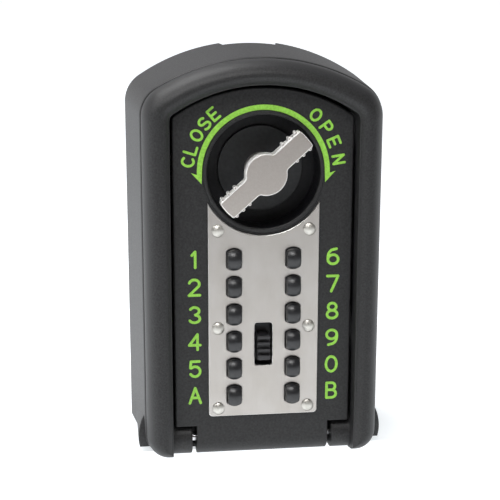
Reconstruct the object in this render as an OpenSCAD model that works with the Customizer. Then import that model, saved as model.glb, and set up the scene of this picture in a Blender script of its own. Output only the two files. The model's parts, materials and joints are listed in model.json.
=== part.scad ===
// Wall-mounted key lock box: a cast housing, a door that swings down on a bottom hinge pin,
// a push-button code lock in the door and a turn knob that drives two side bolts.
// Origin: centre of the wall face. +Z up, +Y into the wall, the door faces -Y. Millimetres.

/* [Housing] */
// Height of the housing
box_h = 155; // [150:1:165]
// Depth from the wall face to the front of the bezel
box_d = 58; // [57:0.5:62]
// Width across the wall face
back_w = 98; // [96:1:106]
// Width at the crease behind the bezel
front_w = 89.2; // [88:0.2:94]
// Drop of the arch from the wall face to the crease
top_drop = 4.3; // [2:0.1:6]
// Radius of the arched top
arch_r = 76; // [72:1:84]
// Radius of the shoulders
shoulder_r = 12.5; // [10:0.5:15]
// Radius of the bezel's lower corners
base_corner_r = 9; // [7:0.5:11]
// Depth of the bezel in front of the crease
bezel_depth = 10.4; // [9:0.2:11]
// Width of the rounded part of the bezel
bezel_round_w = 6.8; // [5:0.2:8]
// Fall of the bezel's front face towards the door
bezel_fall = 2; // [1:0.25:3]
// Step in from the walls to the bezel at the crease
crease_step = 0.5; // [0.2:0.1:0.8]
// Thickness of the back wall
back_t = 4; // [3:0.5:6]
// Thickness of the floor
floor_t = 4.5; // [3.5:0.5:6]
// Width of the space behind the bezel's lip
cavity_w = 82; // [80:0.5:82]
// Height of the lower edge of the curved feet above the base
ear_lift = 2.8; // [2:0.1:4]
// Distance of the feet's outer faces from the centre
ear_x = 47.2; // [47:0.1:48.4]

/* [Wall fixing] */
// Horizontal spacing of the fixing holes
fix_x = 44; // [36:1:56]
// Vertical spacing of the fixing holes
fix_z = 84; // [60:1:96]
// Diameter of the fixing holes
fix_d = 5.5; // [4.5:0.5:6.5]

/* [Door] */
// Width of the door
door_w = 66.6; // [66:0.2:67]
// Thickness of the door skin
skin_t = 4; // [3.5:0.25:4.5]
// Depth of the door face behind the front of the bezel
door_recess = 7; // [6:0.5:8]
// Gap between the door and the bezel
door_gap = 1; // [0.7:0.1:1.2]
// Radius of the arch of the door opening
opening_arch_r = 59; // [56:1:66]
// Height of the door opening's arch above the centre
opening_top = 63.7; // [63:0.1:65]
// Radius of the hinge knuckle
knuckle_r = 6.2; // [6:0.1:6.5]
// Radius of the hinge pin
pin_r = 1.5; // [1.25:0.05:2]
// Width of the door tongue that holds the knuckle
tongue_w = 50.4; // [48:0.2:51]

/* [Turn knob] */
// Height of the knob axis above the centre
knob_z = 32.1; // [31.5:0.1:33]
// Radius of the dish around the knob
dish_r = 20.8; // [20.6:0.1:21.2]
// Depth of the dish
dish_depth = 11.5; // [11:0.5:12]
// Reach of the knob's wings from its axis
wing_reach = 19.6; // [18:0.1:19.8]
// Width of the wings
wing_w = 7.5; // [6:0.25:9]
// Radius of the knob's centre
knob_hub_r = 8.2; // [7:0.1:9]
// Thickness of the wings
wing_t = 5.5; // [4:0.25:6]
// Turn of the wings from level at rest
wing_deg = 42; // [0:1:90]
// Radius of the rotor that closes the floor of the dish
rotor_r = 16; // [14:0.5:18]
// Radius of the spindle
spindle_r = 3; // [2.5:0.25:3.5]
// Stroke of each side bolt over a quarter turn
bolt_stroke = 6; // [5:0.1:6]

/* [Buttons and slider] */
// Spacing of the button rows
row_pitch = 10.5; // [10.2:0.1:10.8]
// Spacing of the two button columns
column_gap = 22; // [21:0.5:23]
// Diameter of the round sides of a button hole
button_d = 8.1; // [7.5:0.1:8.6]
// Width across the flats of a button hole
button_w = 5.5; // [5:0.1:6.5]
// Stand-off of a button's tip from the plate
button_out = 4; // [3:0.25:5]
// Width of the slider's slot
slot_w = 6.6; // [6:0.1:7]
// Height of the slider's slot
slot_h = 16.5; // [16:0.1:17]
// Height of the slider's thumb piece
slider_h = 9.4; // [8:0.1:10]

/* [Plate and legends] */
// Width of the stainless plate
plate_w = 41.3; // [40:0.1:42]
// Lower edge of the plate below the centre
plate_low = 60.8; // [60:0.1:61]
// Thickness of the plate
plate_t = 1; // [0.8:0.1:1.2]
// Diameter of the rivet heads
rivet_d = 4.4; // [3.5:0.1:5]
// Stroke width of the digits
stroke_w = 1; // [0.8:0.1:1.4]
// Stroke width of the words
word_stroke_w = 0.9; // [0.8:0.1:1.2]
// Thickness of the paint
paint_t = 0.15; // [0.1:0.05:0.3]

/* [Hidden] */
$fn = 48;

// Thin slab, overlap of joined solids, and overshoot of a cut
slab = 0.01;
joined = 0.5;
past = 1;

base_z = -box_h / 2;
crease_y = -box_d + bezel_depth;
lip_back_y = -box_d + 18;
face_y = -box_d + door_recess;
skin_back_y = face_y + skin_t;
plate_y = face_y - plate_t;
opening_w = door_w + 2 * door_gap;
bezel_w = (front_w - opening_w) / 2;
cavity_top = 71;
cavity_arch_r = 72;
cavity_corner = 8;
ear_r = 18;
ear_inner_x = 42;
ear_h = 15;
ear_mid_h = 4.2;
ear_y = [-45, -20];
hook_z = 62;
hook_wire_r = 1.25;
hook_bend_r = 5;
hook_bend_y = -15;

hinge_y = face_y + knuckle_r;
hinge_z = base_z + knuckle_r;
notch_z = hinge_z + 6.3;
lug_w = 7.5;
lug_high = hinge_z + 5.6;
knuckle_gap = 0.7;
sill_back_y = lip_back_y + 5;
sill_high = hinge_z + 6;
pin_half = opening_w / 2 + 4;

dish_floor_y = face_y + dish_depth;
dish_wall = 2.5;
dish_back_y = dish_floor_y + 2;
lip_w = 1.6;
plate_gap = 1;
rotor_y = dish_floor_y - 1.6;
lip_h = 0.8;
running_gap = 0.06;

cam_front_y = dish_back_y + 0.2;
cam_t = 1.4;
cam_r = 6.5;
cam_back_y = cam_front_y + cam_t;
cam_pin_r = 1.2;
cam_throw = bolt_stroke / sqrt(2);
fork_x = cam_throw * sin(45);
fork_gap = 0.3;
tail_front_y = cam_back_y + 0.3;
tail_t = 2;
tail_back_y = tail_front_y + tail_t;
cover_y = tail_back_y + 0.6;
cover_t = 1;
post_x = 15;
post_z = 11;
post_r = 2.5;
bolt_tip_x = 32.6;
bolt_head_x = 24.4;
bolt_half_h = 5;
guide_x = [25.8, 30.8];
guide_half_h = bolt_half_h + 0.4;
guide_leg = 2;

case_w = 54;
case_low = -61.5;
case_top = 7;
case_wall = 1.5;
case_back_y = face_y + 20.5;
guide_plate_y = skin_back_y + 7.5;
guide_plate_t = 0.8;
gate_y = guide_plate_y + 2.3;
gate_t = 1.2;
gate_travel = 1.5;
gate_low = -54.5;
gate_top = 4;
gate_half_w = 23;
gate_tail_half_w = 4;
gate_window = [[-3.5, -31], [3.5, -16]];
gate_seat_z = -28;
corner_post = [[21, -60], [27, -56.5]];
thread_r = 1.25;
clear_r = 1.4;
screw_head_r = 2.4;
screw_head_h = 1.6;
tab_t = 1.5;
tab_half_w = 3.2;

top_row_z = 0;
rows = [0 : 5];
stem_r = 1.6;
stem_hole_r = 1.9;
flange_r = 4.8;
flange_y = skin_back_y + 0.1;
slot_z = -32.85;
slot_corner_r = 0.9;
slider_rest_z = slot_z - slot_h / 2 + 2.5;
slider_half_w = 2.45;
slider_tab_z = slider_h + 4.2;
spring_seat_z = -14;
spring_seat_y = skin_back_y + 4.6;
spring_wire = 0.3;

case_screw_points = [for (x = [-29.5, 29.5]) for (z = [-46, -8]) [x, z]];
cover_screw_points = [for (x = [-post_x, post_x]) for (z = [-post_z, post_z]) [x, knob_z + z]];
rivet_points = [for (x = [-17, 17]) for (z = [10.8, -26.2, -57.6]) [x, z]];
rivet_r = 0.9;
rivet_depth = 1.5;

numeral_h = 6.9;
numeral_w = 5.1;
numeral_x = [-25.7, 26.2];
letter_h = 5.1;
letter_w = 4.2;
letter_ring_r = 27.9;
arrow_ring_r = 23.45;
arrow_half_w = 0.95;
close_deg = [171.4, 162.4, 150.8, 140.5, 130.8];
open_deg = [47.1, 34.9, 22.5, 8.6];

// ---- general helpers ----

function arc_points(cx, cy, r, from, to, steps) =
  [for (i = [0 : steps]) let (a = from + (to - from) * i / steps) [cx + r * cos(a), cy + r * sin(a)]];

// Arch-topped outline, symmetric in x: half width, top, arch radius, shoulder radius,
// bottom and bottom corner radius.
function arch_outline(half, top, big_r, sh_r, low, low_r) =
  let (
    cz = top - big_r,
    sx = half - sh_r,
    sz = cz + sqrt(pow(big_r - sh_r, 2) - sx * sx),
    lean = atan2(sz - cz, sx),
    right_low = low_r > 0 ? arc_points(half - low_r, low + low_r, low_r, -90, 0, 10) : [[half, low]],
    right_shoulder = arc_points(sx, sz, sh_r, 0, lean, 10),
    top_arc = arc_points(0, cz, big_r, lean, 180 - lean, 30),
    left_shoulder = arc_points(-sx, sz, sh_r, 180 - lean, 180, 10),
    left_low = low_r > 0 ? arc_points(-half + low_r, low + low_r, low_r, 180, 270, 10) : [[-half, low]]
  )
  concat(right_low, right_shoulder,
    [for (i = [1 : 29]) top_arc[i]],
    left_shoulder, left_low);

// Extrudes a front-view shape (x, z) from depth y0 to depth y1.
module front(y0, y1) {
  translate([0, y1, 0]) rotate([90, 0, 0]) linear_extrude(y1 - y0) children();
}

// Round bar along Y from y0 to y1 at (x, z).
module bar_y(x, z, r, y0, y1) {
  translate([x, y1, z]) rotate([90, 0, 0]) cylinder(r = r, h = y1 - y0);
}

// Round bar along X from x0 to x1 at (y, z).
module bar_x(y, z, r, x0, x1) {
  translate([x0, y, z]) rotate([0, 90, 0]) cylinder(r = r, h = x1 - x0);
}

// Box from its lowest to its highest corner.
module span(low, high) {
  translate(low) cube(high - low);
}

module button_outline(grow) {
  intersection() {
    circle(d = button_d + 2 * grow);
    square([button_w + 2 * grow, button_d + 2], center = true);
  }
}

// Coil spring of round turns swept by a four-sided wire along Z.
module coil(r, height, turns) {
  steps = 10;
  n = steps * turns;
  rings = [for (i = [0 : n])
    let (a = 360 * i / steps, z = spring_wire + (height - 2 * spring_wire) * i / n)
    for (k = [0 : 3]) let (b = 45 + 90 * k, rr = r - spring_wire + spring_wire * cos(b))
      [rr * cos(a), rr * sin(a), z + spring_wire * sin(b)]];
  sides = [for (i = [0 : n - 1]) for (k = [0 : 3])
    let (p = 4 * i + k, q = 4 * i + (k + 1) % 4) each [[p, p + 4, q + 4], [p, q + 4, q]]];
  polyhedron(points = rings, faces = concat([[0, 1, 2, 3]], sides,
    [[4 * n + 3, 4 * n + 2, 4 * n + 1, 4 * n]]), convexity = 6);
}

// ---- housing ----

module housing_slab(y, half, top, big_r, sh_r, low, low_r) {
  front(y, y + slab) polygon(arch_outline(half, top, big_r, sh_r, low, low_r));
}

// Slab of the bezel where its section has turned by t degrees from the crease.
module bezel_slab(t) {
  inset = crease_step + (bezel_round_w - crease_step) * (1 - cos(t));
  y = crease_y - bezel_depth * sin(t) + (t == 90 ? 0 : slab);
  housing_slab(y, front_w / 2 - inset, box_h / 2 - top_drop - inset, arch_r - inset,
    shoulder_r - inset * 0.8, base_z + inset, base_corner_r - inset);
}

module outer_form() {
  hull() {
    housing_slab(-slab, back_w / 2, box_h / 2, arch_r + 2, shoulder_r, base_z, 0);
    housing_slab(crease_y, front_w / 2, box_h / 2 - top_drop, arch_r, shoulder_r,
      base_z, base_corner_r);
  }
  hull() {
    for (t = [0 : 15 : 90]) bezel_slab(t);
  }
}

module opening_shape(grow) {
  polygon(arch_outline(opening_w / 2 + grow, opening_top + grow, opening_arch_r + grow,
    3 + grow, base_z - 5, 0));
}

// Curved feet that stand out of the side walls behind the bezel.
module ears() {
  for (side = [0, 1]) mirror([side, 0, 0])
    front(ear_y[0], ear_y[1]) translate([ear_inner_x, base_z + ear_lift]) intersection() {
      translate([ear_x - ear_r - ear_inner_x, ear_mid_h]) circle(r = ear_r, $fn = 96);
      square(ear_h);
    }
}

// Notch in the rear edge of the top, with slanted ends.
module top_notch() {
  depth = 7.5;
  height = 5;
  translate([0, 0, box_h / 2 - height]) linear_extrude(2 * height)
    polygon([[-11.6, 0.1], [-10.4, -depth], [10.4, -depth], [11.6, 0.1]]);
}

module hinge_lugs() {
  for (side = [0, 1]) mirror([side, 0, 0]) {
    x0 = opening_w / 2 - lug_w;
    x1 = opening_w / 2 + joined;
    bar_x(hinge_y, hinge_z, knuckle_r, x0, x1);
    span([x0, hinge_y, base_z], [x1, sill_back_y, lug_high]);
  }
}

// Sill behind the knuckle, so that nothing can be pushed in under the door.
module sill() {
  half = opening_w / 2 + joined;
  span([-half, hinge_y + 5, base_z], [half, sill_back_y, sill_high]);
}

module housing() {
  knuckle_half = opening_w / 2 - lug_w - joined;
  color([0.23, 0.23, 0.24]) difference() {
    union() {
      difference() {
        outer_form();
        front(-box_d - past, lip_back_y + joined) opening_shape(0);
        hull() {
          front(-box_d - slab, -box_d) opening_shape(bezel_w - bezel_round_w);
          front(-box_d + bezel_fall, -box_d + bezel_fall + slab) opening_shape(0);
        }
        front(lip_back_y, -back_t) polygon(
          arch_outline(cavity_w / 2, cavity_top, cavity_arch_r, cavity_corner, base_z + floor_t, 2));
      }
      ears();
      hinge_lugs();
      sill();
    }
    bar_x(hinge_y, hinge_z, pin_r, -pin_half, pin_half);
    bar_x(hinge_y, hinge_z, knuckle_r + knuckle_gap, -knuckle_half, knuckle_half);
    for (x = [-1, 1] * fix_x / 2) for (z = [-1, 1] * fix_z / 2)
      bar_y(x, z, fix_d / 2, -back_t - past, past);
    top_notch();
  }
}

module hinge_pin() {
  color([0.75, 0.75, 0.76]) bar_x(hinge_y, hinge_z, pin_r, -pin_half, pin_half);
}

module key_hook() {
  color([0.72, 0.72, 0.73]) {
    bar_y(0, hook_z, hook_wire_r, hook_bend_y, -back_t + 2);
    translate([0, hook_bend_y, hook_z + hook_bend_r]) {
      rotate([0, -90, 0]) rotate([0, 0, 180])
        rotate_extrude(angle = 90) translate([hook_bend_r, 0]) circle(r = hook_wire_r, $fn = 24);
      translate([0, -hook_bend_r, 0]) sphere(r = hook_wire_r, $fn = 24);
    }
  }
}

// ---- door ----

module door_outline() {
  polygon(arch_outline(door_w / 2, opening_top - door_gap, opening_arch_r - door_gap,
    2.2, notch_z, 0));
}

module slot_outline() {
  inner_w = slot_w - 2 * slot_corner_r;
  inner_h = slot_h - 2 * slot_corner_r;
  translate([0, slot_z]) {
    square([slot_w, inner_h], center = true);
    square([inner_w, slot_h], center = true);
    for (x = [-1, 1] * inner_w / 2) for (z = [-1, 1] * inner_h / 2)
      translate([x, z]) circle(r = slot_corner_r);
  }
}

module at_buttons() {
  for (side = [-1, 1]) for (row = rows)
    translate([side * column_gap / 2, top_row_z - row * row_pitch]) children();
}

module door_panel() {
  color([0.2, 0.2, 0.21]) difference() {
    union() {
      front(face_y, skin_back_y) door_outline();
      front(skin_back_y - joined, dish_back_y) translate([0, knob_z]) circle(r = dish_r + dish_wall);
      front(face_y - lip_h, face_y + joined) translate([0, knob_z]) circle(r = dish_r + lip_w);
      for (p = cover_screw_points) bar_y(p[0], p[1], post_r, dish_back_y - joined, cover_y);
      span([-tongue_w / 2, face_y, hinge_z], [tongue_w / 2, skin_back_y, notch_z + past]);
      bar_x(hinge_y, hinge_z, knuckle_r, -tongue_w / 2, tongue_w / 2);
      span([-2.5, skin_back_y - joined, spring_seat_z], [2.5, spring_seat_y, spring_seat_z + 2]);
    }
    front(face_y - lip_h - past, dish_floor_y) translate([0, knob_z]) circle(r = dish_r);
    bar_y(0, knob_z, spindle_r + running_gap, dish_floor_y - past, dish_back_y + past);
    bar_x(hinge_y, hinge_z, pin_r + running_gap, -tongue_w / 2 - past, tongue_w / 2 + past);
    front(face_y - past, skin_back_y + past) at_buttons() button_outline(0);
    front(face_y - past, skin_back_y + past) slot_outline();
    for (p = case_screw_points) bar_y(p[0], p[1], thread_r, skin_back_y - 2.5, skin_back_y + past);
    for (p = cover_screw_points) bar_y(p[0], p[1], thread_r, cover_y - 3, cover_y + past);
    for (p = rivet_points) bar_y(p[0], p[1], rivet_r, face_y - past, face_y + rivet_depth);
  }
}

module face_plate() {
  half = plate_w / 2;
  corner = 1.5;
  color([0.77, 0.75, 0.73]) front(plate_y, face_y) difference() {
    polygon(concat(
      arc_points(half - corner, -plate_low + corner, corner, -90, 0, 6),
      [[half, knob_z], [-half, knob_z]],
      arc_points(-half + corner, -plate_low + corner, corner, 180, 270, 6)));
    translate([0, knob_z]) circle(r = dish_r + lip_w + plate_gap, $fn = 96);
    at_buttons() button_outline(0);
    slot_outline();
    for (p = rivet_points) translate(p) circle(r = rivet_r);
  }
}

module face_rivets() {
  head_h = 1;
  cap_r = (pow(rivet_d / 2, 2) + head_h * head_h) / (2 * head_h);
  color([0.82, 0.81, 0.8]) for (p = rivet_points) translate([p[0], 0, p[1]]) {
    bar_y(0, 0, rivet_r, plate_y - joined, face_y + rivet_depth);
    intersection() {
      translate([0, plate_y - head_h + cap_r, 0]) sphere(r = cap_r);
      bar_y(0, 0, cap_r, plate_y - 2 * head_h, plate_y);
    }
  }
}

// ---- legends: strokes with round ends in a unit box, x -0.5..0.5 and z -0.5..0.5 ----

function oval(cx, cz, rx, rz, from, to) =
  [for (i = [0 : 6]) let (a = from + (to - from) * i / 6) [cx + rx * cos(a), cz + rz * sin(a)]];

function glyph(c) =
  c == "0" ? [concat(oval(0, 0, 0.5, 0.5, 90, 450))] :
  c == "1" ? [[[-0.2, 0.28], [0.1, 0.5], [0.1, -0.5]]] :
  c == "2" ? [concat(oval(0, 0.22, 0.46, 0.28, 165, -30), [[-0.48, -0.5], [0.5, -0.5]])] :
  c == "3" ?
    [concat(oval(0, 0.25, 0.42, 0.25, 150, -80), oval(0, -0.25, 0.48, 0.25, 80, -155))] :
  c == "4" ? [[[0.25, -0.5], [0.25, 0.5], [-0.5, -0.2], [0.5, -0.2]]] :
  c == "5" ?
    [concat([[0.4, 0.5], [-0.36, 0.5], [-0.42, 0.08]], oval(0, -0.17, 0.47, 0.33, 130, -150))] :
  c == "6" ? [concat([[0.3, 0.48]],
    oval(0.1, -0.05, 0.58, 0.5, 110, 180), oval(0, -0.2, 0.48, 0.3, 180, 540))] :
  c == "7" ? [[[-0.5, 0.5], [0.5, 0.5], [-0.12, -0.5]]] :
  c == "8" ? [oval(0, 0.26, 0.38, 0.24, 90, 450), oval(0, -0.24, 0.48, 0.26, 90, 450)] :
  c == "9" ? [[for (p = glyph("6")[0]) -p]] :
  c == "A" ? [[[-0.5, -0.5], [0, 0.5], [0.5, -0.5]], [[-0.3, -0.15], [0.3, -0.15]]] :
  c == "B" ? [concat([[-0.4, 0], [-0.4, 0.5]], oval(0.1, 0.26, 0.3, 0.24, 90, -90), [[-0.4, 0]]),
    concat([[-0.4, 0], [-0.4, -0.5]], oval(0.1, -0.24, 0.38, 0.26, -90, 90))] :
  c == "C" ? [oval(0, 0, 0.5, 0.5, 50, 310)] :
  c == "E" ? [[[0.4, 0.5], [-0.4, 0.5], [-0.4, -0.5], [0.4, -0.5]], [[-0.4, 0], [0.25, 0]]] :
  c == "L" ? [[[-0.4, 0.5], [-0.4, -0.5], [0.4, -0.5]]] :
  c == "N" ? [[[-0.42, -0.5], [-0.42, 0.5], [0.42, -0.5], [0.42, 0.5]]] :
  c == "P" ? [concat([[-0.4, -0.5], [-0.4, 0.5]],
    oval(0.1, 0.23, 0.35, 0.27, 90, -90), [[-0.4, -0.04]])] :
  c == "S" ? [concat(oval(0, 0.25, 0.42, 0.25, 30, 260), oval(0, -0.25, 0.45, 0.25, 80, -150))] :
  [oval(0, 0, 0.5, 0.5, 90, 450)];

module glyph_shape(c, w, h, stroke) {
  for (line = glyph(c)) for (i = [0 : len(line) - 2]) hull() {
    for (p = [line[i], line[i + 1]])
      translate([p[0] * (w - stroke), p[1] * (h - stroke)]) circle(d = stroke, $fn = 8);
  }
}

module legend_numerals() {
  columns = ["12345A", "67890B"];
  color([0.58, 0.85, 0.3]) front(face_y - paint_t, face_y)
    for (side = [0, 1]) for (row = rows)
      translate([numeral_x[side], top_row_z - row * row_pitch])
        glyph_shape(columns[side][row], numeral_w, numeral_h, stroke_w);
}

module ring_word(word, angles) {
  for (i = [0 : len(word) - 1])
    rotate(angles[i] - 90) translate([0, letter_ring_r])
      glyph_shape(word[i], letter_w, letter_h, word_stroke_w);
}

module legend_words() {
  color([0.52, 0.8, 0.25]) front(face_y - paint_t, face_y) translate([0, knob_z]) {
    ring_word("CLOSE", close_deg);
    ring_word("OPEN", open_deg);
  }
}

// Half ring over the dish with an arrowhead at each end.
module legend_arrows() {
  outer = arrow_ring_r + arrow_half_w;
  inner = arrow_ring_r - arrow_half_w;
  head = [[inner + 0.2, -4.1], [outer + 2.1, 0], [outer, -0.7]];
  color([0.52, 0.8, 0.25]) front(face_y - paint_t, face_y) translate([0, knob_z])
    polygon(concat(
      arc_points(0, 0, outer, 0, 180, 48),
      [for (i = [2 : -1 : 0]) [-head[i][0], head[i][1]]],
      arc_points(0, 0, inner, 180, 0, 48),
      head));
}

// ---- lock case and plates behind the door ----

module lock_case() {
  half = case_w / 2;
  color([0.55, 0.56, 0.57]) difference() {
    union() {
      span([-half, skin_back_y, case_low], [half, case_back_y, case_top]);
      for (p = case_screw_points)
        span([p[0] - tab_half_w, skin_back_y, p[1] - 4.5],
          [p[0] + tab_half_w, skin_back_y + tab_t, p[1] + 4.5]);
    }
    difference() {
      span([-half + case_wall, skin_back_y - past, case_low + case_wall],
        [half - case_wall, case_back_y - case_wall, case_top - case_wall]);
      span([-2, gate_y - 0.4, gate_seat_z - 2], [2, case_back_y, gate_seat_z]);
      for (side = [0, 1]) mirror([side, 0, 0])
        span([corner_post[0][0], guide_plate_y + guide_plate_t, corner_post[0][1]],
          [corner_post[1][0], case_back_y, corner_post[1][1]]);
    }
    span([-gate_tail_half_w - 0.6, gate_y - 0.5, case_top - case_wall - past],
      [gate_tail_half_w + 0.6, gate_y + gate_t + 0.5, case_top + past]);
    for (p = case_screw_points) bar_y(p[0], p[1], clear_r, skin_back_y - past, skin_back_y + tab_t + past);
  }
}

// Cross-recessed screw with its head's underside at head_y.
module screw(at, head_y) {
  recess_w = 0.35;
  recess_y = head_y + screw_head_h - 0.7;
  translate([at[0], 0, at[1]]) {
    bar_y(0, 0, thread_r, head_y - 3.9, head_y + 0.2);
    difference() {
      bar_y(0, 0, screw_head_r, head_y, head_y + screw_head_h);
      span([-recess_w, recess_y, -2], [recess_w, recess_y + past, 2]);
      span([-2, recess_y, -recess_w], [2, recess_y + past, recess_w]);
    }
  }
}

module case_screws() {
  color([0.7, 0.7, 0.71]) for (p = case_screw_points) screw(p, skin_back_y + tab_t);
}

module guide_plate() {
  edge = 1.7;
  half = case_w / 2 - edge;
  color([0.62, 0.6, 0.5]) front(guide_plate_y, guide_plate_y + guide_plate_t) difference() {
    translate([-half, case_low + edge]) square([2 * half, case_top - case_low - 2 * edge]);
    at_buttons() circle(r = stem_hole_r);
  }
}

module gate_plate() {
  stem_window = [2 * stem_hole_r, 2 * (stem_r + gate_travel + 0.2)];
  tail_low = gate_top - past;
  color([0.66, 0.66, 0.67]) front(gate_y, gate_y + gate_t) difference() {
    union() {
      translate([-gate_half_w, gate_low]) square([2 * gate_half_w, gate_top - gate_low]);
      translate([-gate_tail_half_w, tail_low])
        square([2 * gate_tail_half_w, knob_z - cam_r - 0.4 - tail_low]);
    }
    at_buttons() square(stem_window, center = true);
    translate(gate_window[0]) square(gate_window[1] - gate_window[0]);
  }
}

module gate_spring() {
  color([0.7, 0.7, 0.7]) translate([0, gate_y + gate_t / 2, gate_seat_z])
    coil(1.5, gate_window[1][1] - gate_seat_z, 6);
}

module bolt_cover() {
  edge = 4;
  color([0.62, 0.62, 0.63]) difference() {
    front(cover_y, cover_y + cover_t) translate([0, knob_z])
      square([2 * (post_x + edge), 2 * (post_z + edge)], center = true);
    for (p = cover_screw_points) bar_y(p[0], p[1], clear_r, cover_y - past, cover_y + cover_t + past);
  }
}

module cover_screws() {
  color([0.7, 0.7, 0.71]) for (p = cover_screw_points) screw(p, cover_y + cover_t);
}

module bolt_guide() {
  inner_y = cover_y + 0.2;
  outer = guide_half_h + guide_leg;
  color([0.62, 0.6, 0.5]) difference() {
    span([guide_x[0], skin_back_y, knob_z - outer], [guide_x[1], inner_y + 1.2, knob_z + outer]);
    span([guide_x[0] - past, skin_back_y - past, knob_z - guide_half_h],
      [guide_x[1] + past, inner_y, knob_z + guide_half_h]);
  }
}

module bolt_guide_right() { bolt_guide(); }
module bolt_guide_left() { mirror([1, 0, 0]) bolt_guide(); }

// ---- turn knob, cam and bolts ----

// Side bolt: a head in its guide, a neck, and a fork above (up = 1) or below (up = -1) the
// axis that the cam pin moves.
module bolt(up) {
  fork_end_x = -fork_x - 2.8;
  fork_root_x = 17;
  inner_z = 1.6;
  outer_z = 7.5;
  slot_half = cam_pin_r + fork_gap;
  color([0.74, 0.74, 0.75]) translate([0, 0, knob_z]) mirror([0, 0, up > 0 ? 0 : 1]) difference() {
    union() {
      span([bolt_head_x, cam_front_y, -bolt_half_h], [bolt_tip_x, tail_back_y + 0.4, bolt_half_h]);
      span([fork_end_x, tail_front_y, inner_z], [fork_root_x, tail_back_y, outer_z]);
      span([fork_root_x - joined, tail_front_y, inner_z], [bolt_head_x + joined, tail_back_y, bolt_half_h]);
    }
    span([-fork_x - slot_half, tail_front_y - past, 0], [-fork_x + slot_half, tail_back_y + past, 6]);
  }
}

module bolt_right() { bolt(-1); }
module bolt_left() { mirror([1, 0, 0]) bolt(1); }

module wing_shape() {
  intersection() {
    circle(r = wing_reach, $fn = 96);
    union() {
      square([2 * wing_reach + 2, wing_w], center = true);
      circle(r = knob_hub_r);
    }
  }
}

module wing_knob() {
  nub_r = 0.7;
  nub_pitch = 3.1;
  stalk_r = 6;
  front_y = -box_d - 1;
  back_y = front_y + wing_t;
  color([0.76, 0.74, 0.71]) translate([0, 0, knob_z]) rotate([0, -wing_deg, 0]) difference() {
    union() {
      front(front_y, back_y) wing_shape();
      for (side = [-1, 1]) for (edge = [-1, 1]) for (k = [0 : 2])
        bar_y(side * (wing_reach - 1.9 - nub_pitch * k), edge * (wing_w / 2 + 0.1), nub_r,
          front_y + 1, back_y - 0.5);
      bar_y(0, 0, stalk_r, back_y - joined, rotor_y);
    }
    bar_y(0, 0, spindle_r, front_y + 2, dish_floor_y);
  }
}

module knob_rotor() {
  color([0.16, 0.16, 0.17]) difference() {
    bar_y(0, knob_z, rotor_r, rotor_y, dish_floor_y - 0.2);
    bar_y(0, knob_z, spindle_r, rotor_y - past, dish_floor_y);
  }
}

module spindle() {
  color([0.7, 0.7, 0.71]) bar_y(0, knob_z, spindle_r, -box_d + 2, cam_back_y);
}

module cam() {
  color([0.66, 0.62, 0.45]) difference() {
    union() {
      bar_y(0, knob_z, cam_r, cam_front_y, cam_back_y);
      for (a = [45, -135]) bar_y(cam_throw * cos(a), knob_z + cam_throw * sin(a), cam_pin_r,
        cam_back_y - joined, cover_y - 0.3);
    }
    bar_y(0, knob_z, spindle_r, cam_front_y - past, cam_back_y + past);
  }
}

// ---- slider and buttons ----

module clear_slider() {
  ribs = 4;
  rib_pitch = slider_h / ribs;
  ground_y = plate_y - 1;
  foot = [4.6, -5.5, skin_back_y + 0.1, skin_back_y + 1.4];
  color([0.07, 0.07, 0.08]) translate([0, 0, slider_rest_z]) {
    span([-slider_half_w, ground_y, 0], [slider_half_w, skin_back_y + joined, slider_h]);
    for (k = [0 : ribs - 1])
      span([-slider_half_w, ground_y - 1, rib_pitch * (k + 0.2)],
        [slider_half_w, ground_y + joined, rib_pitch * (k + 0.75)]);
    span([-foot[0], foot[2], foot[1]], [foot[0], foot[3], slider_tab_z]);
    span([-2.5, skin_back_y + joined, slider_tab_z - 2], [2.5, spring_seat_y, slider_tab_z]);
  }
}

module clear_spring() {
  low = slider_rest_z + slider_tab_z;
  color([0.7, 0.7, 0.7]) translate([0, skin_back_y + 2.9, low]) coil(1.5, spring_seat_z - low, 6);
}

module button_body(x, row) {
  tip_y = plate_y - button_out;
  dome_r = 4.6;
  side_gap = 0.15;
  color([0.05, 0.05, 0.06]) translate([x, 0, top_row_z - row * row_pitch]) {
    intersection() {
      front(tip_y - past, flange_y + joined) button_outline(-side_gap);
      union() {
        translate([0, tip_y + dome_r, 0]) sphere(r = dome_r);
        bar_y(0, 0, dome_r, tip_y + dome_r, flange_y + past);
      }
    }
    bar_y(0, 0, flange_r, flange_y, flange_y + 1.2);
    bar_y(0, 0, stem_r, flange_y + past, gate_y + gate_t + 0.9);
  }
}

module button_spring(x, row) {
  flange_back_y = skin_back_y + 1.3;
  color([0.7, 0.7, 0.7]) translate([x, guide_plate_y, top_row_z - row * row_pitch]) rotate([90, 0, 0])
    coil(2.6, guide_plate_y - flange_back_y, 4);
}

left_x = -column_gap / 2;
right_x = column_gap / 2;
module button_1() { button_body(left_x, 0); }
module button_2() { button_body(left_x, 1); }
module button_3() { button_body(left_x, 2); }
module button_4() { button_body(left_x, 3); }
module button_5() { button_body(left_x, 4); }
module button_a() { button_body(left_x, 5); }
module button_6() { button_body(right_x, 0); }
module button_7() { button_body(right_x, 1); }
module button_8() { button_body(right_x, 2); }
module button_9() { button_body(right_x, 3); }
module button_0() { button_body(right_x, 4); }
module button_b() { button_body(right_x, 5); }
module spring_1() { button_spring(left_x, 0); }
module spring_2() { button_spring(left_x, 1); }
module spring_3() { button_spring(left_x, 2); }
module spring_4() { button_spring(left_x, 3); }
module spring_5() { button_spring(left_x, 4); }
module spring_a() { button_spring(left_x, 5); }
module spring_6() { button_spring(right_x, 0); }
module spring_7() { button_spring(right_x, 1); }
module spring_8() { button_spring(right_x, 2); }
module spring_9() { button_spring(right_x, 3); }
module spring_0() { button_spring(right_x, 4); }
module spring_b() { button_spring(right_x, 5); }

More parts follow.
